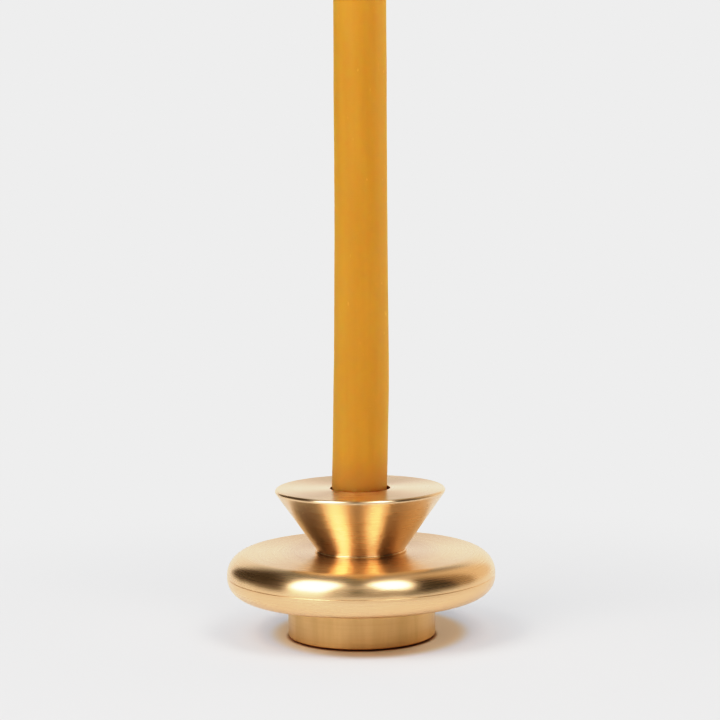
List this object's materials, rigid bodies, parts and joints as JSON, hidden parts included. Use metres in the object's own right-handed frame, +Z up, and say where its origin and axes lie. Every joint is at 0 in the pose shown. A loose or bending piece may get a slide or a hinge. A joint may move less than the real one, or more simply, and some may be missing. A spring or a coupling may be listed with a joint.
{
  "type": "taper candle holder",
  "caption": "Turned satin brass candle holder: conical cup with a flat rim on a round-edged disc and a drum foot, holding a tall beeswax taper candle that lifts out.",
  "frame": {"origin": "on the table, on the turning axis, at the middle of the felt pad's underside", "axes": "+Z up along the turning axis; the holder is a body of revolution, so X and Y are free"},
  "size_m": [0.102, 0.102, 0.303],
  "materials": {
    "satin_brass": "lathe-turned, satin, lacquered",
    "beeswax": "smooth waxy, slightly translucent amber",
    "cotton_wick": "braided cotton",
    "zinc_steel": "bright zinc plated",
    "cast_iron": "rough cast",
    "felt": "pressed wool felt"
  },
  "bodies": {
    "holder": {"felt_pad": "felt", "foot_drum": "satin_brass", "disc_lower_shell": "satin_brass", "disc_upper_shell": "satin_brass", "ballast_ring": "cast_iron", "spacer_tube": "zinc_steel", "neck_ring": "satin_brass", "candle_cup": "satin_brass", "tie_screw": "zinc_steel", "flat_washer": "zinc_steel", "lock_washer": "zinc_steel", "hex_nut": "zinc_steel"},
    "candle": {"candle_wax": "beeswax", "candle_wick": "cotton_wick"}
  },
  "joints": [
    {"name": "candle_lift", "type": "slide", "parent": "holder", "child": "candle", "axis": [0, 0, 1], "range_m": [0, 0.03]}
  ]
}
